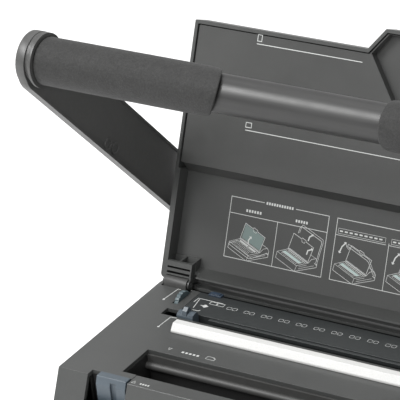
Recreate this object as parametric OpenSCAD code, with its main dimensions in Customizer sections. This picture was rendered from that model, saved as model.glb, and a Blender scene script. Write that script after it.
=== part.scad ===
// Manual comb punching and binding machine with a full-width fold-down handle.
// Millimetres, +Z up, front of the machine towards -Y.

/* [Housing] */
// width of the housing across its side walls
body_w = 390; // [372:1:420]
// height of the crease between work deck and lid above the table
crease_h = 104; // [96:1:116]
// distance of the crease behind the middle of the machine, negative is forward
crease_y = -6; // [-12:0.5:6]
// forward slope of the work deck in degrees
deck_slope = 8; // [5:0.5:10]
// length of the work deck down its slope
deck_len = 127.7; // [120:0.5:136]
// moulded wall thickness
wall = 3; // [2.4:0.2:3.6]
// radius of the rubber feet
foot_r = 9; // [6:0.5:12]

/* [Lid] */
// backward lean of the open lid in degrees
lid_lean = 16.72; // [10:0.5:25]
// lid length from the crease to its straight top edge
lid_len = 191; // [180:1:200]
// full depth of the lid shell
lid_depth = 14; // [12:0.5:18]
// depth of the hollow in the lower half of the lid
pocket_depth = 11; // [8:0.5:12]

/* [Handle] */
// outer radius of the crossbar tube
tube_r = 12.9; // [12:0.1:15]
// outer radius of the foam grips
grip_r = 16.5; // [15.5:0.1:17]
// free tube between the two grips
grip_gap = 127.7; // [110:0.1:150]
// half width of each flat arm
arm_half = 19; // [16:0.5:22]
// radius of the pivot shaft
shaft_r = 5; // [4:0.5:6]

/* [Punch] */
// spacing of the comb holes
comb_pitch = 14.2875; // [14.2:0.0125:14.3]
// number of comb holes
comb_count = 21; // [19:1:21]
// sideways shift of the row of holes from the middle
comb_shift = 17.7; // [0:0.1:20]
// width of one comb hole
hole_w = 8; // [7:0.1:9]
// height of one comb hole
hole_h = 3; // [2.5:0.1:4]

/* [Hidden] */
$fn = 48;

half_w = body_w / 2;
run_gap = 0.05;

// side profile, measured from the crease as [y, z]
ground_z = -crease_h;
tray_bottom = ground_z + 8;
seam_z = -66;
deck_front = [-deck_len * cos(deck_slope), -deck_len * sin(deck_slope)];
front_lean = 0.339;
rear_y = 165;
cover_top = 22;
cover_front = 19;

// handle geometry, measured from the crease as [y, z]
pivot = [116.6, -8.4];
bar_reach = 322.5;
bar_angle = 138.85;
arm_in = 199.7;
arm_out = 206.3;
hinge_axis = [2, 1.7];
tray_front_z = -64;

// drawer and hollow in front of it
drawer_half = 138;
recess_half = 150;
recess_back = -83.4;
recess_front = -115.4;

// throat and groove
throat_half = 168;
die_face = 1.3;
die_thick = 5;
pin_l = -24.6;
groove_back = -29.5;
groove_front = -38;

// gearing on the pivot shaft
punch_module = 1.5;
punch_teeth = 14;
hook_module = 1.25;
hook_teeth = 12;
pressure_angle = 25;
tooth_play = 0.3;
punch_pitch_r = punch_module * punch_teeth / 2;
hook_pitch_r = hook_module * hook_teeth / 2;

function front_y(z) = deck_front[0] + (z - deck_front[1]) * front_lean;
function tray_front() = front_y(tray_front_z) + 4.2;
function deck_to_crease(p) = [
    p[0] * cos(deck_slope) - p[1] * sin(deck_slope),
    p[0] * sin(deck_slope) + p[1] * cos(deck_slope)
];
function crease_to_deck(p) = [
    p[0] * cos(deck_slope) + p[1] * sin(deck_slope),
    -p[0] * sin(deck_slope) + p[1] * cos(deck_slope)
];
function crease_to_leaf(p) = [
    p[0] * cos(lid_lean) - p[1] * sin(lid_lean),
    p[0] * sin(lid_lean) + p[1] * cos(lid_lean)
];
function comb_x(i) = comb_shift + (i - (comb_count - 1) / 2) * comb_pitch;
function arc(cx, cy, r, a0, a1, n) = [
    for (i = [0 : n]) [cx + r * cos(a0 + (a1 - a0) * i / n), cy + r * sin(a0 + (a1 - a0) * i / n)]
];

// frames: crease is level, deck lies along the work deck, leaf lies along the open lid
module crease() {
    translate([0, crease_y, crease_h]) children();
}
module deck() {
    crease() rotate([deck_slope, 0, 0]) children();
}
module leaf() {
    crease() rotate([-lid_lean, 0, 0]) children();
}
module handle_frame() {
    crease() translate([0, pivot[0], pivot[1]]) rotate([bar_angle, 0, 0]) children();
}

// a profile drawn in [y, z] and drawn out across the width
module across(x0, x1) {
    translate([x0, 0, 0]) rotate([90, 0, 90]) linear_extrude(x1 - x0) children();
}
// a profile drawn in [x, z] and drawn out in y
module through(y0, y1) {
    translate([0, y1, 0]) rotate([90, 0, 0]) linear_extrude(y1 - y0) children();
}
module rod(x0, x1, y, z, r) {
    translate([x0, y, z]) rotate([0, 90, 0]) cylinder(h = x1 - x0, r = r);
}
module block(x0, x1, y0, y1, z0, z1) {
    translate([x0, y0, z0]) cube([x1 - x0, y1 - y0, z1 - z0]);
}
module both_sides() {
    children();
    mirror([1, 0, 0]) children();
}

// involute pinion outline
function roll(r, rb) = sqrt(max(0, pow(r / rb, 2) - 1));
function inv_deg(r, rb) = roll(r, rb) * 180 / PI - atan(roll(r, rb));
function flank_angle(r, rp, rb, m) =
    (PI * m / 2 - tooth_play) / (2 * rp) * 180 / PI + inv_deg(rp, rb) - inv_deg(max(r, rb), rb);
function tooth_points(m, z, i) =
    let (
        rp = m * z / 2,
        rb = rp * cos(pressure_angle),
        ra = rp + 0.9 * m,
        rr = rp - 1.15 * m,
        mid = 360 * i / z,
        radii = [for (k = [0 : 4]) rb + (ra - rb) * k / 4]
    )
    concat(
        [[rr * cos(mid - flank_angle(rb, rp, rb, m)), rr * sin(mid - flank_angle(rb, rp, rb, m))]],
        [for (r = radii) [r * cos(mid - flank_angle(r, rp, rb, m)), r * sin(mid - flank_angle(r, rp, rb, m))]],
        [for (k = [4 : -1 : 0])
            [radii[k] * cos(mid + flank_angle(radii[k], rp, rb, m)),
             radii[k] * sin(mid + flank_angle(radii[k], rp, rb, m))]],
        [[rr * cos(mid + flank_angle(rb, rp, rb, m)), rr * sin(mid + flank_angle(rb, rp, rb, m))]]
    );
module pinion_outline(m, z) {
    polygon([for (i = [0 : z - 1]) each tooth_points(m, z, i)]);
}
// rack teeth pointing down from the line y = 0, with a gap centred on x = 0
function rack_points(m, x0, x1, back) =
    let (
        p = PI * m,
        first = ceil((x0 - p / 2) / p),
        last = floor((x1 - p / 2) / p),
        half = p / 4 - tooth_play / 2,
        tip = half - 0.9 * m * tan(pressure_angle),
        root = half + 1.15 * m * tan(pressure_angle)
    )
    concat(
        [[x1 + p, back], [x0 - p, back], [x0 - p, 1.15 * m]],
        [for (i = [first : last]) each [
            [(i + 0.5) * p - root, 1.15 * m],
            [(i + 0.5) * p - tip, -0.9 * m],
            [(i + 0.5) * p + tip, -0.9 * m],
            [(i + 0.5) * p + root, 1.15 * m]
        ]],
        [[x1 + p, 1.15 * m]]
    );

// ---------------------------------------------------------------- housing

module base_tray() {
    color("#3b3b3a") crease() difference() {
        across(-half_w, half_w) polygon([
            [front_y(tray_bottom), tray_bottom],
            [front_y(seam_z - 0.3), seam_z - 0.3],
            [rear_y, seam_z - 0.3],
            [rear_y, tray_bottom]
        ]);
        across(-half_w + wall, half_w - wall) polygon([
            [front_y(tray_bottom + wall) + wall, tray_bottom + wall],
            [front_y(seam_z + 1) + wall, seam_z + 1],
            [rear_y - wall, seam_z + 1],
            [rear_y - wall, tray_bottom + wall]
        ]);
        // front opening for the drawer
        block(-drawer_half - 0.3, drawer_half + 0.3, -170, -136, tray_bottom + 4.5, seam_z + 1);
        // screw holes in the floor
        for (x = [-150, 150], y = [40, 130])
            translate([x, y, tray_bottom - 1]) cylinder(h = wall + 2, r = 1.6);
    }
}

module top_cover() {
    color("#4a4a48") difference() {
        union() {
            crease() difference() {
                across(-half_w, half_w) polygon([
                    deck_front,
                    [0, 0],
                    [cover_front - 0.5, 0],
                    [cover_front - 0.5, seam_z],
                    [front_y(seam_z), seam_z]
                ]);
                across(-half_w + wall, half_w - wall) polygon([
                    [front_y(-21) + wall + 0.3, deck_front[1] - wall + 0.2],
                    [0, -wall],
                    [cover_front + 1, -wall],
                    [cover_front + 1, seam_z - 1],
                    [front_y(seam_z - 1) + wall + 0.3, seam_z - 1]
                ]);
            }
            // ledges that carry the ends of the die panel
            deck() block(-161.7, -156, -29, -20, -5, -2.3);
            deck() block(165, 171, -29, -3, -5, -2.3);
        }
        // throat opening, with a sunken shelf behind it under the lid
        crease() block(-throat_half - 1, throat_half + 1, -0.8, 6, -12, 5);
        crease() block(-throat_half - 0.8, throat_half + 0.8, 5.8, cover_front + 1, -1, 5);
        deck() {
            // seat of the die panel
            block(-159, throat_half, groove_back - 0.1, 0, -2.25, 5);
            block(-156, 165, groove_back - 0.1, 0, -8, 5);
            // comb groove
            block(-169.1, 169.1, groove_front, groove_back, -8, 5);
            // slot of the margin wheel
            block(-169.9, -165.5, -22.3, -2.4, -8, 5);
            // finger hollow behind the drawer front
            block(-recess_half, recess_half, recess_front, recess_back, -9, 5);
            block(-drawer_half - 0.3, drawer_half + 0.3, -135, recess_front + 1, -9, 5);
            // notch of the drawer latch
            block(-170.5, -drawer_half - 0.2, -136, -121.5, -27, 5);
        }
        crease() {
            // front opening for the drawer
            block(-drawer_half - 0.3, drawer_half + 0.3, -160, -112, seam_z - 1, -14);
            // pockets for the lid hinges
            both_sides() block(-191.8, -throat_half + 1, -2.9, 7, -wall - 1, 2);
        }
    }
}

module rear_cover() {
    color("#454543") crease() difference() {
        across(-half_w, half_w) polygon([
            [cover_front, seam_z],
            [cover_front, -1],
            [70, cover_top],
            [135, cover_top],
            [rear_y, 0],
            [rear_y, seam_z]
        ]);
        across(-half_w + wall, half_w - wall) polygon([
            [cover_front + 2.5, seam_z - 1],
            [cover_front + 2.5, -2.8],
            [70.6, cover_top - wall],
            [133.6, cover_top - wall],
            [rear_y - wall, -2],
            [rear_y - wall, seam_z - 1]
        ]);
        // the front stays open below a short lip
        block(-half_w + wall, half_w - wall, cover_front - 1, cover_front + 3, seam_z - 1, -12);
        // clearance for the pivot shaft
        rod(-half_w - 1, half_w + 1, pivot[0], pivot[1], 8);
    }
}

module side_frame(x0) {
    color("#8e9296") crease() difference() {
        across(x0, x0 + 3) polygon([
            [-30, -90], [150, -90], [150, -30], [135, 12], [85, 12], [24, -12.5], [-30, -12.5]
        ]);
        rod(x0 - 1, x0 + 4, pivot[0], pivot[1], 8 + run_gap);
        // seats for the punch plates are clear of these lightening holes
        rod(x0 - 1, x0 + 4, 75, -45, 20);
        rod(x0 - 1, x0 + 4, 122, -62, 14);
    }
}
module side_frame_left() side_frame(-186);
module side_frame_right() side_frame(183);

module shaft_bushes() {
    color("#d8d4c8") crease() both_sides() difference() {
        union() {
            rod(183, 186, pivot[0], pivot[1], 8);
            rod(186.05, 187.8, pivot[0], pivot[1], 10.5);
            rod(185.9, 186.2, pivot[0], pivot[1], 8);
        }
        rod(180, 190, pivot[0], pivot[1], shaft_r + run_gap);
    }
}

module tie_rods() {
    color("#9a9da0") crease() {
        rod(-182.95, 182.95, 60, -76, 4);
        rod(-182.95, 182.95, 140, -76, 4);
        rod(-182.95, 182.95, 140, -38, 4);
    }
}

module pin_slots(y0, y1) {
    for (i = [0 : comb_count - 1])
        block(comb_x(i) - hole_w / 2 - 0.15, comb_x(i) + hole_w / 2 + 0.15, y0, y1,
              pin_l - hole_h / 2 - 0.15, pin_l + hole_h / 2 + 0.15);
}

module die_plate() {
    color("#a3a6a8") leaf() difference() {
        block(-182.95, 182.95, -die_face - die_thick, -die_face, -33, -9);
        // cut down at the left end to clear the margin wheel
        block(-184, -157.5, -die_face - die_thick - 1, 0, -22, -8);
        pin_slots(-die_face - die_thick - 1, 0);
    }
}

module guide_plate() {
    color("#a3a6a8") leaf() difference() {
        block(-182.95, 182.95, die_face, die_face + die_thick, -33, -3.2);
        pin_slots(0, die_face + die_thick + 1);
        // funnel edge that leads the sheets in
        across(-184, 184) polygon([[0, -3], [die_face + 2.5, -3], [die_face - 0.1, -8], [0, -8]]);
        // notches around the hinge knuckles
        both_sides() block(-184, -170.9, 0, 8, -16, -2);
    }
}

module throat_floor() {
    color("#8b8e90") leaf() block(-182.9, 182.9, -die_face + 0.02, die_face - 0.02, -33, -29);
}

module die_panel() {
    color("#3f4243") deck() {
        block(-158.7, throat_half - 0.3, groove_back + 0.3, -1.1, -2.2, 0);
        block(-154, 163, groove_back + 0.3, groove_back + 2.3, -13, -2.1);
        // sunken ledge along the groove, set off by a fine seam
        block(-133, 163, groove_back - 2.9, groove_back - 0.5, -3.2, -0.4);
        block(-133, 163, groove_back - 0.6, groove_back + 0.4, -3.2, -1.8);
    }
}

module comb_strip() {
    color("#f2f2ee") deck() across(-148, 164) polygon([
        [-48.2, 0.02], [-48.2, 5.5], [-48.7, 6], [-54.1, 6], [-57.7, 1.6], [-57.7, 0.02]
    ]);
}

module groove_tray() {
    color("#2b2c2c") deck() {
        block(-171, 171, -51, -30, -20, -18.5);
        block(-171, 171, -51, -49.5, -18.6, -3.05);
    }
}

module recess_liner() {
    color("#2e2e2d") deck() {
        block(-recess_half - 1.5, recess_half + 1.5, recess_back, recess_back + 1.5, -26, -3.15);
        block(-recess_half - 1.5, recess_half + 1.5, -113, recess_back + 0.1, -26, -24.5);
        both_sides() block(-recess_half - 1.5, -recess_half, recess_front, recess_back + 0.1, -26, -3.15);
        both_sides() block(-recess_half - 1.5, -drawer_half - 0.6, recess_front - 1.5, recess_front, -26, -3.15);
    }
}

module recess_roller() {
    // rear wall of the hollow, ending in a rounded lip
    color("#3d3d3b") deck() {
        block(-recess_half + 0.1, recess_half - 0.1, recess_back - 1.9, recess_back - 0.05, -11, -3.12);
        rod(-recess_half + 0.1, recess_half - 0.1, recess_back - 2.9, -11, 2.75);
    }
}

module hinge_brackets() {
    color("#3a3a39") crease() both_sides() difference() {
        union() {
            block(-190.05, -171.15, hinge_axis[0] - 4.4, hinge_axis[0] + 4.4, -9, hinge_axis[1]);
            rod(-190.05, -171.15, hinge_axis[0], hinge_axis[1], 4.4);
            block(-190, -171.3, -2.4, 17, -12, -8);
        }
        rod(-191, -170, hinge_axis[0], hinge_axis[1], 2 + run_gap);
    }
}

module hinge_pins() {
    color("#b9bcbe") crease() both_sides() rod(-191.3, -169.75, hinge_axis[0], hinge_axis[1], 2);
}

module wheel_bracket() {
    color("#333434") deck() difference() {
        union() {
            block(-172.6, -170.2, -16.3, -8.3, -10, -3.15);
            block(-165.3, -163.6, -16.3, -8.3, -10, -3.15);
        }
        rod(-174, -163, -12.3, -5.7, 2 + run_gap);
    }
}

module latch_pocket() {
    color("#262626") deck() {
        block(-172, -drawer_half - 0.7, -121.4, -119.6, -24, -3.15);
        block(-172, -170.6, -124.2, -121.3, -24, -3.15);
    }
}

module feet() {
    color("#1d1d1d") crease() for (x = [-168, 168], y = [-122, 138]) translate([x, y, ground_z]) {
        cylinder(h = 1.5, r1 = foot_r - 1, r2 = foot_r);
        translate([0, 0, 1.4]) cylinder(h = 6.58, r = foot_r);
    }
}

module tray_screws() {
    color("#8a8a8a") crease() for (x = [-150, 150], y = [40, 130]) translate([x, y, tray_bottom]) {
        translate([0, 0, -2.02]) difference() {
            cylinder(h = 2, r = 3.6);
            translate([-0.5, -2.6, -1]) cube([1, 5.2, 2]);
            translate([-2.6, -0.5, -1]) cube([5.2, 1, 2]);
        }
        translate([0, 0, -0.1]) cylinder(h = 9, r = 1.5);
    }
}

// ---------------------------------------------------------------- lid

// lid outline with rounded corners and the raised middle tab, shrunk by inset
function lid_points(inset, low, corner) =
    let (w = half_w - inset, top = lid_len - inset, k = inset * 0.42)
    concat(
        arc(w - corner, low + corner, corner, -90, 0, 5),
        arc(w - 1, top - 1, 1, 0, 90, 3),
        [[53.9 - k, top], [41.4 - k, top + 15.7], [-41.4 + k, top + 15.7], [-53.9 + k, top]],
        arc(-w + 1, top - 1, 1, 90, 180, 3),
        arc(-w + corner, low + corner, corner, 180, 270, 5)
    );

// end wall of a hinge housing, running down as an ear around the hinge pin
module hinge_ear(x0, x1) {
    at = crease_to_leaf(hinge_axis);
    rod(x0, x1, at[0], at[1], 3.4);
    across(x0, x1) polygon([[0.02, at[1]], [4.6, at[1]], [4.6, 8], [0.02, 8]]);
}

module lid_shell() {
    at = crease_to_leaf(hinge_axis);
    color("#555553") leaf() difference() {
        union() {
            difference() {
                through(0, lid_depth) polygon(lid_points(0, 4, 3.2));
                // upper hollow behind the raised panel
                through(-1, pocket_depth) difference() {
                    polygon(lid_points(2.5, 60, 0.5));
                    translate([-half_w, 0]) square([body_w, 84]);
                }
                // lower hollow, down to the tops of the two hinge housings
                across(-half_w + 4.3, half_w - 4.3) polygon([
                    [-1, 84.1], [-1, 16.565], [pocket_depth, 21.783], [pocket_depth, 84.1]
                ]);
                // between the housings the hollow ends at a sloping lip
                across(-169.6, 169.6) polygon([
                    [-1, 60], [-1, 8.673], [pocket_depth, 15], [pocket_depth, 60]
                ]);
                // space under the lip
                across(-169.65, 169.65) polygon([
                    [-1.1, 8], [2.2, 8], [pocket_depth + 0.2, 12.8], [pocket_depth + 0.2, -2], [-1.1, -2]
                ]);
                // space around the hinge knuckles
                both_sides() across(-190.2, -171) polygon([
                    [-1.2, 7], [pocket_depth + 0.3, 7], [pocket_depth + 0.3, -2.1], [-1.2, -2.1]
                ]);
                // open pockets and slots in the hinge housings
                both_sides() {
                    block(-190.3, -182, 1.8, 9.6, 13.8, 26);
                    block(-180.2, -170.9, 1.8, 9.6, 13.8, 26);
                    block(-190.25, -170.95, -1.3, 7.5, 11.9, 13.3);
                    block(-190.25, -170.95, -1.3, 7.5, 8.2, 9.8);
                }
                // room for the margin wheel when shut
                block(-169.85, -165.5, -1.4, 5.2, 5.5, 19);
                // relief along the crease
                across(-half_w - 1, half_w + 1) polygon([[-1.5, -3], [-1.5, 0.07], [15, 5.03], [15, -3]]);
            }
            both_sides() {
                hinge_ear(-191.5, -190.2);
                hinge_ear(-171, -169.6);
            }
        }
        both_sides() rod(-191.45, -169, at[0], at[1], 2 + run_gap);
    }
}

module tab_hollow(grow) {
    polygon([
        [-39.2 - grow, 203.2], [-50.9 - grow, 188.4], [-21.7 - grow, 146 - grow],
        [21.7 + grow, 146 - grow], [50.9 + grow, 188.4], [39.2 + grow, 203.2]
    ]);
}

module lid_panel() {
    color("#5e5e5c") leaf() {
        difference() {
            union() {
                through(1.2, 3.4) difference() {
                    polygon(lid_points(3.3, 60, 0.5));
                    translate([-half_w, 0]) square([body_w, 88.6]);
                }
                // sloping step down to the lower hollow
                across(-half_w + 4.5, half_w - 4.5) polygon([
                    [1.2, 88.7], [3.4, 88.7], [10.9, 84.2], [10.9, 82.4]
                ]);
                // deeper finger hollow in the middle tab
                through(1.3, 10) intersection() {
                    polygon(lid_points(3.3, 60, 0.5));
                    tab_hollow(1.6);
                }
            }
            through(0, 8) tab_hollow(0);
        }
    }
}

// ---------------------------------------------------------------- handle

module arm_dish(x0, x1) {
    across(x0, x1) polygon([
        [24, -19.3], [bar_reach - 21.5, -17.5], [bar_reach - 21.5, 18.7], [24, 15]
    ]);
}
module arm(side) {
    color("#3d3d3c") handle_frame() scale([side, 1, 1]) difference() {
        union() {
            across(arm_in, arm_out) polygon([
                [0, -21.1], [bar_reach, -arm_half], [bar_reach - 4, arm_half + 1.6], [0, 16.3]
            ]);
            rod(arm_in, arm_out, bar_reach, 0, arm_half);
            rod(arm_in, arm_out, bar_reach - 4, 1.2, arm_half + 0.45);
            rod(arm_in, arm_out, 0, -2.4, 18.7);
            // neck and raised rim around the end of the grip
            rod(196.4, arm_in + 0.1, bar_reach + 0.25, -0.87, 17.9);
            rod(194.6, 196.5, bar_reach, 0, 18.8);
        }
        // dished inner and outer faces
        arm_dish(arm_in - 0.5, arm_in + 0.8);
        arm_dish(arm_out - 0.8, arm_out + 0.5);
        rod(194, 203.1, bar_reach, 0, tube_r + run_gap);
        rod(196, 203.1, 0, 0, shaft_r + run_gap);
    }
    // two small moulding rings with a dimple on the inner face
    for (place = [[211, 13.3], [201.1, 11.9]])
        color("#3d3d3c") handle_frame() scale([side, 1, 1]) difference() {
            rod(arm_in - 0.2, arm_in + 1, place[0], place[1], 4.4);
            rod(arm_in - 1, arm_in + 0.6, place[0], place[1], 3);
        }
}
module arm_left() arm(-1);
module arm_right() arm(1);

module pivot_caps() {
    color("#2d2d2d") crease() both_sides() difference() {
        union() {
            rod(arm_out + 0.02, arm_out + 1.5, pivot[0], pivot[1], 14);
            rod(arm_out + 1.4, arm_out + 2.5, pivot[0], pivot[1], 12);
        }
        rod(arm_out + 1.7, arm_out + 3.5, pivot[0], pivot[1], 7);
    }
}

module handle_shaft() {
    color("#b5b8ba") crease() rod(-203, 203, pivot[0], pivot[1], shaft_r);
}

module crossbar_tube() {
    color("#4c5154") handle_frame() difference() {
        rod(-203, 203, bar_reach, 0, tube_r);
        rod(-204, 204, bar_reach, 0, tube_r - 1.8);
    }
}

// the free end of the left grip is cut at a slant, the right one is cut square
module grip_left() {
    color("#4b4b4a") handle_frame() difference() {
        rod(-194.2, -46, bar_reach, 0, grip_r);
        rod(-196, -45, bar_reach, 0, tube_r + run_gap);
        translate([0, bar_reach, 0]) rotate([11.3, 0, 0]) translate([0, 0, -20]) linear_extrude(40) polygon([
            [-grip_gap / 2 + 2.85 - 13, -20], [-grip_gap / 2 + 2.85 + 13, 20], [-30, 20], [-30, -20]
        ]);
    }
}
module grip_right() {
    color("#4b4b4a") handle_frame() difference() {
        rod(grip_gap / 2 + 2.15, 194.2, bar_reach, 0, grip_r);
        rod(grip_gap / 2, 196, bar_reach, 0, tube_r + run_gap);
    }
}

module punch_pinions() {
    shaft = crease_to_leaf(pivot);
    color("#9b9ea1") leaf() both_sides() translate([0, shaft[0], shaft[1]]) difference() {
        across(156, 162) rotate(90) pinion_outline(punch_module, punch_teeth);
        rod(155, 163, 0, 0, shaft_r + run_gap);
    }
}

module hook_pinions() {
    shaft = crease_to_deck(pivot);
    color("#9b9ea1") deck() both_sides() translate([0, shaft[0], shaft[1]]) difference() {
        across(174, 179) rotate(-90) pinion_outline(hook_module, hook_teeth);
        rod(173, 180, 0, 0, shaft_r + run_gap);
    }
}

// ---------------------------------------------------------------- punch

module punch_bar() {
    color("#8f9295") leaf() difference() {
        block(-168, 168, 24, 32, -36, -14);
        for (x = [-100, 0, 100]) translate([x, 23, -30.5]) rotate([-90, 0, 0]) cylinder(h = 10, r = 2.2);
    }
}

module punch_pins() {
    color("#c3c6c8") leaf() for (i = [0 : comb_count - 1])
        block(comb_x(i) - hole_w / 2, comb_x(i) + hole_w / 2, 2.2, 23.98,
              pin_l - hole_h / 2, pin_l + hole_h / 2);
}

module punch_racks() {
    shaft = crease_to_leaf(pivot);
    color("#9b9ea1") leaf() both_sides() across(156.5, 161.5) union() {
        polygon([
            [32.02, -36], [84, -36], [90, -30], [90, 36.5], [86, 41.9], [78, 33], [72, -14], [32.02, -14]
        ]);
        translate([shaft[0], shaft[1] + punch_pitch_r])
            polygon(rack_points(punch_module, -12.5, 14, 6));
        translate([0, shaft[1] + punch_pitch_r]) polygon([[86, 1.8], [98, 1.8], [98, 6], [86, 6]]);
    }
}

// ---------------------------------------------------------------- comb hooks

module hook_rail() {
    color("#85888b") deck() {
        block(-179, 179, -41, -36, -14, -8);
        for (i = [0 : comb_count - 1])
            translate([comb_x(i), 0, 0]) across(-1.2, 1.2) polygon([
                [-36, -8.1], [-36, -3.6], [-41, -3.6], [-41, -5], [-38, -5.6], [-38, -8.1]
            ]);
    }
}

module hook_racks() {
    shaft = crease_to_deck(pivot);
    color("#85888b") deck() both_sides() across(174.2, 178.8) union() {
        polygon([[-41, -40], [-41, -14.02], [-36, -14.02], [-36, -34.6], [shaft[0] - 14, -34.6],
                 [shaft[0] - 14, -40]]);
        translate([shaft[0], shaft[1] - hook_pitch_r]) mirror([0, 1])
            polygon(rack_points(hook_module, -10.5, 10.5, 7.9));
    }
}

// ---------------------------------------------------------------- drawer

module chip_tray() {
    color("#2f3031") crease() difference() {
        block(-134, 134, tray_front(), 12, tray_bottom + 4.9, tray_front_z);
        block(-132, 132, tray_front() + 2, 10, tray_bottom + 6.9, tray_front_z + 4);
    }
}

module drawer_front() {
    lip_back = deck_to_crease([recess_front - 0.3, 0]);
    lip_back_low = deck_to_crease([recess_front - 0.3, -24]);
    wall_low = deck_to_crease([recess_front - 2.5, -24]);
    wall_high = deck_to_crease([recess_front - 2.5, -2.8]);
    inner_top = deck_to_crease([-124.2, -2.8]);
    foot_z = tray_bottom + 4.9;
    color("#4a4a48") crease() {
        across(-drawer_half, drawer_half) polygon([
            lip_back, deck_front, [front_y(foot_z), foot_z], [front_y(foot_z) + 3.2, foot_z],
            inner_top, wall_high, wall_low, lip_back_low
        ]);
        // flanges that carry the tray
        both_sides() across(-128, -124) polygon([
            [front_y(-70) + 2.9, -70], [tray_front(), -70],
            [tray_front(), -84], [front_y(-84) + 2.9, -84]
        ]);
    }
}

// ---------------------------------------------------------------- controls

module latch_slider() {
    color("#5b6a77") deck() difference() {
        union() {
            block(-163, -138.8, -130.2, -124.4, -22, 0.9);
            block(-163, -138.8, -124.5, -121.9, -2.2, 0.9);
        }
        // trims the button to the lean of the front face
        across(-175, -130) polygon([
            [-127.9, 2], [-128.1, 0.2], [-130.2, -4.6], [-135.5, -23], [-140, -23], [-140, 2]
        ]);
        // grip groove
        block(-151.3, -146.9, -133, -128.2, -23, -2.4);
    }
}

module margin_wheel() {
    color("#50626c") deck() {
        difference() {
            rod(-169.3, -166.1, -12.3, -5.7, 9.8);
            for (a = [0 : 20 : 340])
                rod(-170, -165, -12.3 + 10.3 * cos(a), -5.7 + 10.3 * sin(a), 1);
        }
        rod(-172.5, -163.7, -12.3, -5.7, 2);
    }
}

module edge_guide() {
    color("#2f3c4a") {
        deck() {
            block(-151, -140.5, -3.4, 0.8, 0.05, 1.3);
            block(-149, -142, -2.9, 0.4, 1.2, 2);
        }
        // foot that runs in the throat
        crease() across(-150, -141.5) polygon([
            [-0.6, 0.3], [-0.6, -5.6], [0.6, -5.6], [1.9, -4.2], [1.9, 0.4], [0.6, 0.5]
        ]);
    }
}

module comb_stop() {
    color("#4d6070") deck() {
        block(-156.1, -142.6, -37.6, -29.9, -6, 1.6);
        // two low lobes either side of a finger fin
        across(-156, -151.4) polygon([[-37.3, 1.5], [-36.6, 2.6], [-33.2, 3.6], [-30.8, 3], [-30.2, 1.5]]);
        across(-151.5, -148) polygon([[-37.2, 1.5], [-36.2, 5], [-33.4, 7.1], [-31.2, 6.2], [-30.1, 1.5]]);
        across(-147.5, -142.7) polygon([[-37.3, 1.5], [-36.8, 2.8], [-33, 3.6], [-30.9, 3.2], [-30.2, 1.5]]);
    }
}

base_tray();
top_cover();
rear_cover();
side_frame_left();
side_frame_right();
shaft_bushes();
tie_rods();
die_plate();
guide_plate();
throat_floor();
die_panel();
comb_strip();
groove_tray();
recess_liner();
recess_roller();
hinge_brackets();
hinge_pins();
wheel_bracket();
latch_pocket();
feet();
tray_screws();
lid_shell();
lid_panel();
handle_shaft();
arm_left();
arm_right();
pivot_caps();
crossbar_tube();
grip_left();
grip_right();
punch_pinions();
hook_pinions();
punch_bar();
punch_pins();
punch_racks();
hook_rail();
hook_racks();
chip_tray();
drawer_front();
latch_slider();
margin_wheel();
edge_guide();
comb_stop();
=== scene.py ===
import math
import bpy
from mathutils import Matrix, Vector, noise


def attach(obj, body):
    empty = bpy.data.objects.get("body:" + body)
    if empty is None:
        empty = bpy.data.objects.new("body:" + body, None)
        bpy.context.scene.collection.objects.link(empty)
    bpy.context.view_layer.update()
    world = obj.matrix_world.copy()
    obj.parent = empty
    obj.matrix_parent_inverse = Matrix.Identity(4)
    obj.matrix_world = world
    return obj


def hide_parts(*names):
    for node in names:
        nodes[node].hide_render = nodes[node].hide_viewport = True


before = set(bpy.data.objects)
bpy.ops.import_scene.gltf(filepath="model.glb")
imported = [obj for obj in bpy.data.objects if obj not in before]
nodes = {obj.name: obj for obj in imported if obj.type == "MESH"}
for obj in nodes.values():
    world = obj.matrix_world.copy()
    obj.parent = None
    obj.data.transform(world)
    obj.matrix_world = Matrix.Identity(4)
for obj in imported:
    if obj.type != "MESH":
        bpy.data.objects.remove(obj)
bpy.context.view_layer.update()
scene = bpy.context.scene

# ---------------------------------------------------------------- frames
# y and z of the crease line between deck and lid, in metres
CREASE_Y, CREASE_Z = -0.006, 0.104
# the lid leans back from upright and the deck slopes down to the front
LEAN = math.radians(16.72)
SLOPE = math.radians(8.0)
# y and z of the crossbar's axis
BAR_Y, BAR_Z = CREASE_Y - 0.1263, CREASE_Z + 0.2038


def leaf(x, y, l):
    """A point on the open lid: x across, y behind its face, l up from the crease, in mm."""
    y, l = y / 1000, l / 1000
    return Vector((x / 1000, CREASE_Y + y * math.cos(LEAN) + l * math.sin(LEAN),
                   CREASE_Z - y * math.sin(LEAN) + l * math.cos(LEAN)))


def deck(x, y, z):
    """A point on the work deck: x across, y along its slope from the crease (negative to the front),
    z above it, in mm."""
    y, z = y / 1000, z / 1000
    return Vector((x / 1000, CREASE_Y + y * math.cos(SLOPE) - z * math.sin(SLOPE),
                   CREASE_Z + y * math.sin(SLOPE) + z * math.cos(SLOPE)))


# ---------------------------------------------------------------- camera
CAMERA_PLACE = (0.917, -1.636, 0.917)
CAMERA_AZIMUTH, CAMERA_ELEVATION, CAMERA_ROLL = 33.42, 20.83, -1.32
SENSOR_WIDTH = 36
# focal length as a multiple of the picture's width
FOCAL_RATIO = 7.4025


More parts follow.
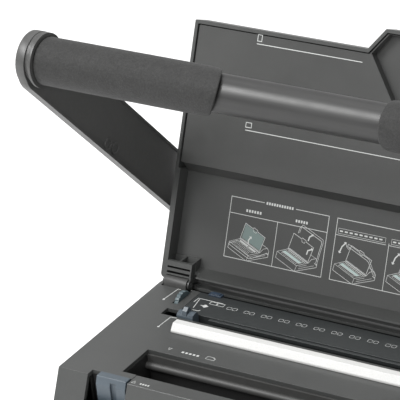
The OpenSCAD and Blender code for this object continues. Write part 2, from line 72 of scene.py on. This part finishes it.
def set_camera():
    azimuth = math.radians(CAMERA_AZIMUTH)
    elevation = math.radians(CAMERA_ELEVATION)
    roll = math.radians(CAMERA_ROLL)
    right = Vector((math.cos(azimuth), math.sin(azimuth), 0))
    view = Vector((-math.sin(azimuth) * math.cos(elevation), math.cos(azimuth) * math.cos(elevation),
                   -math.sin(elevation)))
    up = right.cross(view)
    rolled_right = right * math.cos(roll) + up * math.sin(roll)
    rolled_up = up * math.cos(roll) - right * math.sin(roll)
    camera = bpy.data.objects.new("camera", bpy.data.cameras.new("camera"))
    scene.collection.objects.link(camera)
    matrix = Matrix((rolled_right, rolled_up, -view)).transposed().to_4x4()
    matrix.translation = Vector(CAMERA_PLACE)
    camera.matrix_world = matrix
    camera.data.sensor_width = SENSOR_WIDTH
    camera.data.lens = SENSOR_WIDTH * FOCAL_RATIO
    camera.data.clip_end = 50
    scene.camera = camera


set_camera()


# ---------------------------------------------------------------- materials
def new_material(name):
    m = bpy.data.materials.new(name)
    m.use_nodes = True
    t = m.node_tree
    t.nodes.clear()
    out = t.nodes.new("ShaderNodeOutputMaterial")
    b = t.nodes.new("ShaderNodeBsdfPrincipled")
    t.links.new(b.outputs[0], out.inputs[0])
    return m, t, b


def noise_node(t, scale, detail=2.0, rough=0.5):
    n = t.nodes.new("ShaderNodeTexNoise")
    n.inputs["Scale"].default_value = scale
    n.inputs["Detail"].default_value = detail
    n.inputs["Roughness"].default_value = rough
    t.links.new(coords(t), n.inputs["Vector"])
    return n.outputs["Fac"]


def coords(t):
    for n in t.nodes:
        if n.bl_idname == "ShaderNodeTexCoord":
            return n.outputs["Object"]
    return t.nodes.new("ShaderNodeTexCoord").outputs["Object"]


def remap(t, value, lo, hi, a, b):
    n = t.nodes.new("ShaderNodeMapRange")
    n.inputs["From Min"].default_value = lo
    n.inputs["From Max"].default_value = hi
    n.inputs["To Min"].default_value = a
    n.inputs["To Max"].default_value = b
    t.links.new(value, n.inputs["Value"])
    return n.outputs["Result"]


def tint(t, color, factor):
    """The base colour multiplied by a factor socket."""
    n = t.nodes.new("ShaderNodeVectorMath")
    n.operation = "SCALE"
    n.inputs[0].default_value = color
    t.links.new(factor, n.inputs["Scale"])
    return n.outputs[0]


def bump(t, height, strength, distance, after=None):
    n = t.nodes.new("ShaderNodeBump")
    n.inputs["Strength"].default_value = strength
    n.inputs["Distance"].default_value = distance
    t.links.new(height, n.inputs["Height"])
    if after is not None:
        t.links.new(after, n.inputs["Normal"])
    return n.outputs[0]


def math_node(t, op, a, b):
    n = t.nodes.new("ShaderNodeMath")
    n.operation = op
    for i, v in enumerate((a, b)):
        if isinstance(v, (int, float)):
            n.inputs[i].default_value = v
        else:
            t.links.new(v, n.inputs[i])
    return n.outputs[0]


def plastic(name, color, rough=0.45, grain=0.35, grain_scale=2600, var=0.06, wear=0.25, spec=0.5):
    """Moulded plastic: spark-eroded grain, faint cloudy gloss, edges rubbed a little lighter."""
    m, t, b = new_material(name)
    cloud = noise_node(t, 18, 3)
    geo = t.nodes.new("ShaderNodeNewGeometry")
    edge = remap(t, geo.outputs["Pointiness"], 0.52, 0.6, 0.0, wear)
    scuff = noise_node(t, 240, 4, 0.7)
    edge = math_node(t, "MULTIPLY", edge, remap(t, scuff, 0.35, 0.7, 0.2, 1.0))
    shade = math_node(t, "ADD", remap(t, cloud, 0.3, 0.7, 1 - var, 1 + var), edge)
    fleck = remap(t, noise_node(t, grain_scale * 0.7, 1), 0.3, 0.7, 0.94, 1.06)
    t.links.new(tint(t, color, math_node(t, "MULTIPLY", shade, fleck)), b.inputs["Base Color"])
    gloss = remap(t, noise_node(t, 60, 4, 0.6), 0.3, 0.7, rough - 0.03, rough + 0.03)
    t.links.new(gloss, b.inputs["Roughness"])
    g = noise_node(t, grain_scale, 2, 0.6)
    t.links.new(bump(t, g, grain, 0.00006), b.inputs["Normal"])
    b.inputs["Specular IOR Level"].default_value = spec
    return m


def metal(name, color, rough, brushed=0.4, metallic=1.0):
    """Metal with fine drawn lines along x and faint smudges in its gloss."""
    m, t, b = new_material(name)
    mapping = t.nodes.new("ShaderNodeMapping")
    mapping.inputs["Scale"].default_value = (14, 900, 900)
    t.links.new(coords(t), mapping.inputs["Vector"])
    n = t.nodes.new("ShaderNodeTexNoise")
    n.inputs["Scale"].default_value = 1
    n.inputs["Detail"].default_value = 3
    t.links.new(mapping.outputs[0], n.inputs["Vector"])
    t.links.new(tint(t, color, remap(t, n.outputs["Fac"], 0.3, 0.7, 0.93, 1.07)), b.inputs["Base Color"])
    smear = noise_node(t, 35, 3)
    t.links.new(remap(t, smear, 0.3, 0.7, rough - 0.04, rough + 0.05), b.inputs["Roughness"])
    t.links.new(bump(t, n.outputs["Fac"], brushed, 0.00002), b.inputs["Normal"])
    b.inputs["Metallic"].default_value = metallic
    return m


def foam_material(name, color):
    """Closed-cell foam: small open pores with painted shade in them, speckle, soft sheen."""
    m, t, b = new_material(name)
    v = t.nodes.new("ShaderNodeTexVoronoi")
    v.inputs["Scale"].default_value = 1300
    t.links.new(coords(t), v.inputs["Vector"])
    pore = remap(t, v.outputs["Distance"], 0.1, 0.55, 0.0, 1.0)
    lump = noise_node(t, 420, 3, 0.65)
    speck = remap(t, noise_node(t, 700, 3, 0.75), 0.35, 0.68, 0.6, 1.45)
    patch = remap(t, noise_node(t, 150, 4, 0.75), 0.32, 0.68, 0.8, 1.2)
    f = math_node(t, "MULTIPLY", speck, patch)
    # painted shade: the colour darkens to 0.82 in the middle of each pore, where the bump below sinks its
    # dimple
    f = math_node(t, "MULTIPLY", f, remap(t, pore, 0, 1, 0.82, 1.05))
    t.links.new(tint(t, color, f), b.inputs["Base Color"])
    b.inputs["Roughness"].default_value = 0.68
    b.inputs["Specular IOR Level"].default_value = 0.32
    b.inputs["Sheen Weight"].default_value = 0.05
    b.inputs["Sheen Roughness"].default_value = 0.6
    first = bump(t, lump, 0.5, 0.0004)
    t.links.new(bump(t, pore, 0.55, 0.00025, first), b.inputs["Normal"])
    return m


# linear colours
M = {
    "deck": plastic("moulded deck grey", (0.0445, 0.046, 0.045), 0.34),
    "base": plastic("moulded tray grey", (0.04, 0.04, 0.039), 0.42),
    "panel": plastic("moulded panel grey", (0.0235, 0.026, 0.0265), 0.36),
    "lid": plastic("moulded lid grey", (0.0335, 0.0346, 0.0335), 0.4),
    "lid_panel": plastic("moulded lid panel grey", (0.0345, 0.0352, 0.0341), 0.4),
    "black": plastic("moulded black", (0.012, 0.012, 0.012), 0.5),
    "dark": plastic("moulded dark grey", (0.03, 0.03, 0.03), 0.45),
    "lip": plastic("moulded lip grey", (0.034, 0.034, 0.033), 0.52),
    "arm": plastic("moulded arm grey", (0.047, 0.047, 0.046), 0.42),
    "foam": foam_material("grip foam", (0.0158, 0.0158, 0.0154)),
    "tube": metal("satin dark tube", (0.044, 0.044, 0.0436), 0.42, 0.25, 0.6),
    "steel": metal("drawn steel", (0.5, 0.51, 0.52), 0.33),
    "dark_steel": metal("oiled dark steel", (0.12, 0.12, 0.125), 0.4),
    "bush": plastic("bush plastic", (0.6, 0.58, 0.52), 0.5),
    "white": plastic("white strip plastic", (0.5, 0.5, 0.49), 0.4, 0.15, 2000, 0.015, 0.0),
    "rubber": plastic("foot rubber", (0.014, 0.014, 0.014), 0.8, 0.5, 1800),
    "blue": plastic("slate blue plastic", (0.053, 0.068, 0.082), 0.4),
    "wheel": plastic("slate wheel plastic", (0.055, 0.078, 0.086), 0.42),
    "navy": plastic("dark blue guide plastic", (0.02, 0.032, 0.05), 0.42),
    "ink": plastic("white ink", (0.42, 0.43, 0.42), 0.5, 0.2, 3000, 0.03, 0.0),
    "ink_teal": plastic("dim teal ink", (0.115, 0.155, 0.147), 0.5, 0.2, 3000, 0.03, 0.0),
    "ink_pale": plastic("pale teal ink", (0.31, 0.39, 0.375), 0.5, 0.2, 3000, 0.03, 0.0),
}
# material of each CAD piece that keeps its mesh
LOOK = {
    "base_tray": "base", "top_cover": "deck", "rear_cover": "deck", "side_frame_left": "steel",
    "side_frame_right": "steel", "shaft_bushes": "bush", "tie_rods": "steel", "die_plate": "dark_steel",
    "guide_plate": "panel", "throat_floor": "dark_steel", "die_panel": "panel", "comb_strip": "white",
    # recess_liner takes the black plastic as painted shade: its cavity is coloured black to stand for the
    # shade inside, while the lit rear wall above it in recess_roller keeps a grey
    "groove_tray": "black", "recess_liner": "black", "recess_roller": "lip", "hinge_brackets": "lip",
    "hinge_pins": "steel", "wheel_bracket": "black", "latch_pocket": "black", "feet": "rubber",
    "tray_screws": "steel", "lid_shell": "lid", "lid_panel": "lid_panel", "handle_shaft": "steel",
    "arm_left": "arm", "arm_right": "arm", "pivot_caps": "dark", "crossbar_tube": "tube",
    "punch_pinions": "steel", "hook_pinions": "steel", "punch_bar": "steel", "punch_pins": "steel",
    "punch_racks": "steel", "hook_rail": "dark_steel", "hook_racks": "dark_steel", "chip_tray": "black",
    "drawer_front": "deck", "latch_slider": "blue", "margin_wheel": "wheel", "edge_guide": "navy",
    "comb_stop": "blue",
}
# moulding radii in mm
ROUND = {
    "base_tray": 1.2, "top_cover": 0.9, "rear_cover": 2.0, "lid_shell": 0.9, "lid_panel": 0.45,
    "arm_left": 1.1, "arm_right": 1.1, "pivot_caps": 0.5, "drawer_front": 0.4, "latch_slider": 0.6,
    "comb_stop": 0.7, "edge_guide": 0.6, "margin_wheel": 0.35, "die_panel": 0.35, "comb_strip": 0.5,
    "recess_liner": 0.5, "feet": 0.6, "hinge_brackets": 0.5,
}


def dress(o, material):
    if not o.material_slots:
        o.data.materials.append(material)
    for slot in o.material_slots:
        slot.material = material


def soften(o, radius):
    """Moulding radii: merged vertices and clean flat faces first, so that the bevel shades evenly."""
    weld = o.modifiers.new("weld", "WELD")
    weld.merge_threshold = 0.00002
    planes = o.modifiers.new("planes", "DECIMATE")
    planes.decimate_type = "DISSOLVE"
    planes.angle_limit = math.radians(0.4)
    bevel = o.modifiers.new("round", "BEVEL")
    bevel.width = radius / 1000
    bevel.segments = 3
    bevel.limit_method = "ANGLE"
    bevel.angle_limit = math.radians(28)
    bevel.harden_normals = True


for name, key in LOOK.items():
    dress(nodes[name], M[key])
for name, radius in ROUND.items():
    soften(nodes[name], radius)


# ---------------------------------------------------------------- mesh helpers
def make(name, verts, faces, mat, body, smooth=False):
    me = bpy.data.meshes.new(name)
    me.from_pydata([tuple(v) for v in verts], [], faces)
    me.update()
    o = bpy.data.objects.new(name, me)
    scene.collection.objects.link(o)
    me.materials.append(M[mat])
    if smooth:
        for p in me.polygons:
            p.use_smooth = True
    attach(o, body)
    return o


class Print:
    """Flat ink shapes drawn in the plane of a surface, collected into one mesh."""

    def __init__(self, place):
        self.place = place
        self.verts = []
        self.faces = []

    def face(self, pts):
        n = len(self.verts)
        self.verts += [self.place(*p) for p in pts]
        self.faces.append(list(range(n, n + len(pts))))

    def line(self, pts, width, closed=False):
        """A ribbon along a polyline, with mitred corners that are cut short where the line turns sharply."""
        half = width / 2
        count = len(pts)
        left, right = [], []
        for i, p in enumerate(pts):
            before = pts[i - 1] if i or closed else None
            after = pts[(i + 1) % count] if i < count - 1 or closed else None
            d1 = unit(before, p) if before else unit(p, after)
            d2 = unit(p, after) if after else d1
            n1, n2 = (-d1[1], d1[0]), (-d2[1], d2[0])
            k = max(1 + n1[0] * n2[0] + n1[1] * n2[1], 0.4)
            mitre = ((n1[0] + n2[0]) / k, (n1[1] + n2[1]) / k)
            left.append((p[0] + mitre[0] * half, p[1] + mitre[1] * half))
            right.append((p[0] - mitre[0] * half, p[1] - mitre[1] * half))
        for i in range(count if closed else count - 1):
            j = (i + 1) % count
            self.face([right[i], right[j], left[j], left[i]])

    def rect(self, x0, y0, x1, y1, width):
        self.line([(x0, y0), (x1, y0), (x1, y1), (x0, y1)], width, True)

    def bar(self, x0, y0, x1, y1):
        self.face([(x0, y0), (x1, y0), (x1, y1), (x0, y1)])

    def build(self, name, mat, body):
        make(name, self.verts, self.faces, mat, body)


def unit(a, b):
    """Direction from a to b."""
    dx, dy = b[0] - a[0], b[1] - a[1]
    d = math.hypot(dx, dy)
    return dx / d, dy / d


# ---------------------------------------------------------------- foam grips
# distances along the bar are from its middle, in metres; side is -1 for the left grip and 1 for the right one
GRIP_FAR = 0.1941
GRIP_NEAR = {-1: 0.0610, 1: 0.0661}
# the free end of the left grip is cut at a slant: how much further it runs per unit of radius, and which way
GRIP_SLANT = {-1: 0.65, 1: 0.0}
SLANT_Y, SLANT_Z = -0.867, 0.4985
GRIP_RADIUS, SLEEVE_RADIUS = 0.01632, 0.01293
# swell in the middle, and height of the foam's lumps
BARREL, LUMPS = 0.00005, 0.00007
# length and drop of the rounding at the free end and at the arm
NEAR_ROUND, FAR_ROUND = 0.0013, 0.0012
NEAR_DROP, FAR_DROP = 0.0011, 0.0010
# how much the free end is pulled in, and over what length
PULL_IN, PULL_LENGTH = 0.0008, 0.014
# points around and between the ends; rings within each rounded end, in mm from it
AROUND, ALONG = 96, 84
END_STEPS = (0, 0.15, 0.35, 0.6, 0.95, 1.4)
END_LENGTH = 0.0028


def grip_radius(d, length):
    """Outer radius at a distance d from the free end: slight barrel, rounded ends, free end pulled in."""
    a, b = min(d / NEAR_ROUND, 1.0), min((length - d) / FAR_ROUND, 1.0)
    r = GRIP_RADIUS + BARREL * math.sin(d / length * math.pi)
    r -= NEAR_DROP * (1 - math.sqrt(max(0.0, 1 - (1 - a) ** 2)))
    r -= FAR_DROP * (1 - math.sqrt(max(0.0, 1 - (1 - b) ** 2)))
    return r - PULL_IN * max(0.0, 1 - d / PULL_LENGTH) ** 2


def grip_profile(length):
    """Pairs of share of the length and radius, from the sleeve at the free end to the one at the arm."""
    steps = [d / 1000 for d in END_STEPS]
    places = steps + [END_LENGTH + (length - 2 * END_LENGTH) * i / ALONG for i in range(ALONG + 1)]
    places += [length - d for d in reversed(steps)]
    outer = [(d / length, grip_radius(d, length)) for d in places]
    return [(0.002, SLEEVE_RADIUS)] + outer + [(0.998, SLEEVE_RADIUS)]


def foam_grip(name, node, side):
    profile = grip_profile(GRIP_FAR - GRIP_NEAR[side])
    last = len(profile) - 1
    verts, faces = [], []
    for k, (share, radius) in enumerate(profile):
        for j in range(AROUND):
            angle = 2 * math.pi * j / AROUND
            y, z = math.cos(angle), math.sin(angle)
            start = GRIP_NEAR[side] - GRIP_SLANT[side] * radius * (SLANT_Y * y + SLANT_Z * z)
            x = start + (GRIP_FAR - start) * share
            n = noise.noise(Vector((x * 160 * side, y * 3.2, z * 3.2)))
            n += 0.6 * noise.noise(Vector((x * 420 * side, y * 8, z * 8)))
            r = radius + (LUMPS * n if 0 < k < last else 0)
            verts.append((side * x, BAR_Y + r * y, BAR_Z + r * z))
    # the last ring joins the first one, so that an inner sleeve closes the form around the tube
    for i in range(last + 1):
        after = (i + 1) % (last + 1)
        for j in range(AROUND):
            k = (j + 1) % AROUND
            quad = [i * AROUND + j, i * AROUND + k, after * AROUND + k, after * AROUND + j]
            faces.append(quad if side < 0 else quad[::-1])
    o = make(name, verts, faces, "foam", "handle", True)
    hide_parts(node)


foam_grip("foam_grip_left", "grip_left", -1)
foam_grip("foam_grip_right", "grip_right", 1)

# ---------------------------------------------------------------- printed guides on the lid
# in mm: depths of the two printed faces behind the lid's front plane, and how far ink and tints stand off
UPPER_FACE, LOWER_FACE = 1.2, 11.0
INK_LIFT, TINT_LIFT = 0.08, 0.05
# widths of the sheet lines, the box outlines and the lines within a box
SHEET_LINE, FRAME_LINE, CELL_LINE = 0.55, 0.44, 0.4

upper = Print(lambda x, l: leaf(x, UPPER_FACE - INK_LIFT, l))
# edges of the two sheet sizes, each with a small empty sheet at its start
upper.line([(-142.7, 181.2), (-57, 181.2)], SHEET_LINE)
upper.line([(57, 181.2), (142.7, 181.2)], SHEET_LINE)
upper.line([(-142.4, 119.7), (67.6, 119.7)], SHEET_LINE)
for x, l, w, h in ((-142.4, 183.2, 3.4, 4.6), (-142.4, 121.8, 4.6, 3.4)):
    upper.rect(x, l, x + w, l + h, 0.5)
upper.build("lid_sheet_lines", "ink", "lid")

lower = Print(lambda x, l: leaf(x, LOWER_FACE - INK_LIFT, l))
teal = Print(lambda x, l: leaf(x, LOWER_FACE - TINT_LIFT, l))
pale = Print(lambda x, l: leaf(x, LOWER_FACE - TINT_LIFT, l))

# where the bar of the drawn handle stands from its pivot: along b and up c of machine_icon
BAR_PLACES = {"down": (-0.86, -0.18), "mid": (-0.42, 1.02), "up": (0.12, 1.32)}


def machine_icon(ox, oy, handle, tinted):
    """A small generic picture of such a machine from its right front corner, drawn in oblique projection.

    a runs along its width, b to its rear and c up, each from 0 to about 1."""

    def at(*pts):
        return [(ox + a * 17.0 + b * 16.2 + c * 0.7, oy - a * 7.2 + b * 5.6 + c * 11.6) for a, b, c in pts]

    # body: front, right side with the raised rear cover, deck
    lower.line(at((0, 0, 0), (0.03, -0.06, -0.34), (1, -0.06, -0.34), (1, 1, -0.34), (1, 1, 0.02)), 0.3)
    lower.line(at((0, 0, 0), (1, 0, 0), (1, 0.56, 0.04), (0, 0.56, 0.04)), 0.3, True)
    lower.line(at((1, 0, 0), (1.0, -0.06, -0.34)), 0.26)
    lower.line(at((1, 0.56, 0.04), (1, 0.7, 0.24), (1, 0.9, 0.24), (1, 1.0, 0.02)), 0.3)
    lower.line(at((0.72, 0.9, 0.24), (1, 0.9, 0.24)), 0.26)
    lower.line(at((0.12, 0.08, 0.0), (0.86, 0.08, 0.0), (0.86, 0.18, 0.0), (0.12, 0.18, 0.0)), 0.24, True)
    lower.line(at((0.04, 0.38, 0.02), (0.96, 0.38, 0.02)), 0.24)
    lower.line(at((0.04, 0.47, 0.03), (0.96, 0.47, 0.03)), 0.4)
    for i in range(7):
        lower.bar(*at((0.12 + i * 0.12, 0.42, 0.03))[0], *at((0.16 + i * 0.12, 0.44, 0.03))[0])
    lower.line(at((1, 0.12, -0.1), (1, 0.5, -0.08)), 0.22)
    lower.line(at((1, 0.12, -0.22), (1, 0.86, -0.2)), 0.22)
    # open lid with its tab
    lid = at((0, 0.52, 0.06), (1, 0.52, 0.06), (1.02, 0.66, 0.98), (0.64, 0.66, 0.99), (0.6, 0.67, 1.06),
             (0.42, 0.67, 1.06), (0.38, 0.66, 0.99), (0, 0.66, 0.98))
    lower.line(lid, 0.34, True)
    lower.line(at((0.42, 0.65, 0.98), (0.46, 0.64, 0.86), (0.57, 0.64, 0.86), (0.6, 0.65, 0.98)), 0.26)
    lower.line(at((0.03, 0.53, 0.12), (0.97, 0.53, 0.12)), 0.26)
    if tinted:
        teal.face(at((0.03, 0.56, 0.14), (0.97, 0.56, 0.14), (0.99, 0.65, 0.95), (0.03, 0.65, 0.95)))
        strip = at((0.08, 0.25, 0.02), (0.9, 0.25, 0.02), (0.9, 0.33, 0.02), (0.08, 0.33, 0.02))
        lower.line(strip, 0.26, True)
        lower.line(at((0.1, 0.42, 0.03), (0.5, 0.42, 0.03)), 0.7)
        lower.line(at((0.56, 0.42, 0.03), (0.9, 0.42, 0.03)), 0.7)
    else:
        pale.face(at((0.06, 0.2, 0.02), (0.9, 0.2, 0.02), (0.9, 0.33, 0.02), (0.06, 0.33, 0.02)))
        lower.line(at((0.05, 0.18, 0.02), (0.91, 0.18, 0.02), (0.91, 0.35, 0.02)), 0.26)
    # handle: two arms and a bar, around pivots at the rear
    back, up = BAR_PLACES[handle]
    for off, width in ((0.0, 0.34), (0.07, 0.28)):
        pivot = 0.86 + off
        near = [(1.06, pivot, 0.0), (1.06, pivot + back * 0.9, up * 0.92), (1.02, pivot + back, up + off)]
        far = [(-0.02, pivot + back, up + off), (-0.05, pivot + back * 0.9, up * 0.9)]
        # the far arm is hidden lower down, behind the lid or the body
        if handle == "down":
            far.append((-0.05, 0.46, -0.1))
        else:
            far.append((-0.05, pivot + back * 0.55, up * 0.66))
        lower.line(at(*(near + far)), width)
    lower.line(at((1.06, 0.8, 0.02), (1.1, 0.86, -0.06), (1.06, 0.94, -0.02)), 0.4)


def arrow(pts, size, both=False):
    """A curved arrow: a fat ribbon with one or two triangular heads."""
    lower.line(pts, 0.9)
    ends = [(pts[-2], pts[-1])] + ([(pts[1], pts[0])] if both else [])
    for a, b in ends:
        d = unit(a, b)
        n = (-d[1], d[0])
        lower.face([(b[0] + d[0] * size, b[1] + d[1] * size), (b[0] + n[0] * size, b[1] + n[1] * size),
                    (b[0] - n[0] * size, b[1] - n[1] * size)])


def header_marks(p, x0, x1, y, n, h=1.9):
    """A row of n short bars where a heading would stand."""
    step = (x1 - x0) / n
    for i in range(n):
        p.bar(x0 + i * step, y, x0 + i * step + step * 0.62, y + h)


# foot and top of the picture boxes and foot of their headings, up the lid from the crease
FOOT, TOP, HEAD = 26.9, 70.4, 58.8
# left and right sides of the first box, the gap in its top line and the line between its two pictures
LEFT, RIGHT, GAP_LEFT, GAP_RIGHT, MIDDLE = -151.4, -70.8, -124.0, -98.0, -111.3


def first_box():
    """Two pictures under a broken top line with a heading in the gap."""
    lower.line([(GAP_LEFT, TOP), (LEFT, TOP), (LEFT, FOOT), (RIGHT, FOOT), (RIGHT, TOP), (GAP_RIGHT, TOP)],
               FRAME_LINE)
    lower.line([(LEFT, HEAD), (RIGHT, HEAD)], CELL_LINE)
    lower.line([(MIDDLE, HEAD), (MIDDLE, FOOT)], CELL_LINE)
    header_marks(lower, GAP_LEFT + 1.6, GAP_RIGHT - 1.4, TOP - 1.0, 11)
    header_marks(lower, -138.0, -124.6, HEAD + 2.6, 6)
    header_marks(lower, -97.0, -86.4, HEAD + 2.6, 5)
    machine_icon(-148.4, 38.2, "down", True)
    machine_icon(-108.4, 38.4, "up", False)
    arrow([(-132.6, 38.6), (-133.0, 41.6), (-131.6, 43.6)], 1.4)
    arrow([(-84.6, 40.4), (-84.0, 43.4), (-81.2, 44.6)], 1.4)
    arrow([(-84.8, 50.2), (-84.2, 53.0), (-82.2, 54.6)], 1.3)


def picture_cell(x, width, handle):
    """One picture with a small strip of marks over it."""
    lower.line([(x + 0.4, HEAD), (x + width - 2.2, HEAD)], 0.36)
    lower.rect(x + 1.8, HEAD + 1.2, x + width - 3.0, HEAD + 4.8, 0.22)
    header_marks(lower, x + 3.0, x + width - 4.0, HEAD + 2.5, 9, 1.0)
    machine_icon(x + 2.4, 38.3, handle, False)
    arrow([(x + 5.2, 47.6), (x + 6.4, 51.2), (x + 8.6, 53.8)], 1.4, True)


def picture_box(x0, x1, cells):
    lower.rect(x0, FOOT, x1, TOP, FRAME_LINE)
    width = (x1 - x0) / cells
    for c in range(cells):
        x = x0 + c * width
        if c:
            lower.line([(x, HEAD + 1.4), (x, FOOT)], CELL_LINE)
        picture_cell(x, width, "up" if c == 1 else "mid")


first_box()
picture_box(-63.9, 63.9, 3)
picture_box(-RIGHT, -LEFT, 2)
lower.build("lid_pictures", "ink", "lid")
teal.build("lid_picture_tints", "ink_teal", "lid")
pale.build("lid_picture_strips", "ink_pale", "lid")

# ---------------------------------------------------------------- printed marks on the deck
DECK_INK_LIFT = 0.06
HOLE_PITCH, HOLE_COUNT, HOLE_MIDDLE = 14.2875, 21, 17.7


def on_deck(x, y):
    return deck(x, y, DECK_INK_LIFT)


def hole_pair(p, cx):
    """Two small eight-sided outlines side by side, the mark for one hole of the comb row."""
    front, rear, half, corner = -14.5, -11.4, 1.7, 0.6
    for side in (-1, 1):
        a, b = cx + side * 2.3 - half, cx + side * 2.3 + half
        p.line([(a + corner, front), (b - corner, front), (b, front + corner), (b, rear - corner),
                (b - corner, rear), (a + corner, rear), (a, rear - corner), (a, front + corner)], 0.3, True)


def panel_marks():
    p = Print(on_deck)
    for i in range(HOLE_COUNT):
        hole_pair(p, HOLE_MIDDLE + (i - (HOLE_COUNT - 1) / 2) * HOLE_PITCH)
    # key to the margin control: a bracket, a pair of holes and an arrow
    p.line([(-156.1, -14.9), (-155.8, -9.1), (-134.9, -9.1)], 0.55)
    p.line([(-154.3, -10.0), (-152.0, -22.1)], 0.6)
    p.rect(-144.3, -13.0, -138.9, -9.8, 0.45)
    p.rect(-138.2, -13.0, -132.9, -9.8, 0.45)
    p.face([(-148.0, -17.2), (-145.8, -14.8), (-142.6, -16.6), (-145.0, -19.2)])
    p.bar(-149.0, -17.3, -146.4, -16.5)
    p.line([(-151.0, -24.6), (-146.2, -24.6), (-145.4, -23.2)], 0.6)
    p.build("panel_marks", "ink", "base")


def deck_marks():
    p = Print(on_deck)
    # leader lines with a foot, beside the margin wheel and the comb stop
    p.line([(-174.5, -3.6), (-176.7, -3.9), (-178.3, -19.4)], 0.6)
    p.line([(-179.2, -20.2), (-177.4, -20.2)], 1.5)
    p.line([(-154.7, -39.2), (-159.7, -39.7), (-160.5, -53.5)], 0.6)
    p.line([(-161.4, -54.3), (-159.6, -54.3)], 1.3)
    # small triangle, heading and sheet with a folded corner over the recess
    p.line([(-137.4, -76.0), (-134.6, -76.0), (-136.0, -78.3)], 0.32, True)
    header_marks(p, -126.0, -110.8, -78.2, 5, 1.8)
    p.line([(-106.0, -78.4), (-99.2, -78.4), (-99.2, -76.2), (-100.6, -75.0), (-106.0, -75.0)], 0.32, True)
    p.line([(-100.6, -75.0), (-100.6, -76.2), (-99.2, -76.2)], 0.28)
    p.build("deck_marks", "ink", "base")


def latch_marks():
    p = Print(on_deck)
    p.line([(-136.2, -125.2), (-133.2, -125.2), (-134.7, -122.6)], 0.32, True)
    header_marks(p, -129.6, -121.4, -125.2, 4, 1.7)
    p.build("latch_marks", "ink", "drawer")


panel_marks()
deck_marks()
latch_marks()


# ---------------------------------------------------------------- floor and light
# half the side of the square floor, in metres
FLOOR_HALF = 14


def pale_floor():
    m, t, b = new_material("pale floor")
    cloud = noise_node(t, 3, 3)
    t.links.new(tint(t, (0.88, 0.88, 0.88), remap(t, cloud, 0.3, 0.7, 0.995, 1.005)), b.inputs["Base Color"])
    b.inputs["Roughness"].default_value = 0.7
    b.inputs["Specular IOR Level"].default_value = 0.2
    me = bpy.data.meshes.new("floor")
    h = FLOOR_HALF
    me.from_pydata([(-h, -h, 0), (h, -h, 0), (h, h, 0), (-h, h, 0)], [], [[0, 1, 2, 3]])
    me.materials.append(m)
    o = bpy.data.objects.new("floor", me)
    scene.collection.objects.link(o)


def area(name, place, target, size, power):
    """A rectangular lamp at a place, turned to a target."""
    light = bpy.data.lights.new(name, "AREA")
    light.shape = "RECTANGLE"
    light.size, light.size_y = size
    light.energy = power
    o = bpy.data.objects.new(name, light)
    o.location = place
    o.rotation_euler = (Vector(target) - Vector(place)).to_track_quat("-Z", "Y").to_euler()
    scene.collection.objects.link(o)


def studio(brightness):
    """An even white surround."""
    world = bpy.data.worlds.new("studio")
    world.use_nodes = True
    background = world.node_tree.nodes["Background"]
    background.inputs["Color"].default_value = (1, 1, 1, 1)
    background.inputs["Strength"].default_value = brightness
    scene.world = world
    scene.view_settings.view_transform = "Standard"


pale_floor()
area("key", (-1.15, -1.2, 1.75), (-0.05, 0, 0.1), (0.9, 0.75), 42)
area("front", (-0.1, -1.9, 1.5), (-0.05, 0, 0.15), (0.5, 0.4), 20)
area("top", (-0.3, 0.5, 2.6), (0, 0, 0), (2.0, 2.0), 26)
area("fill", (1.8, -2.2, 1.2), (0, 0, 0.15), (1.6, 1.2), 6)
studio(0.74)
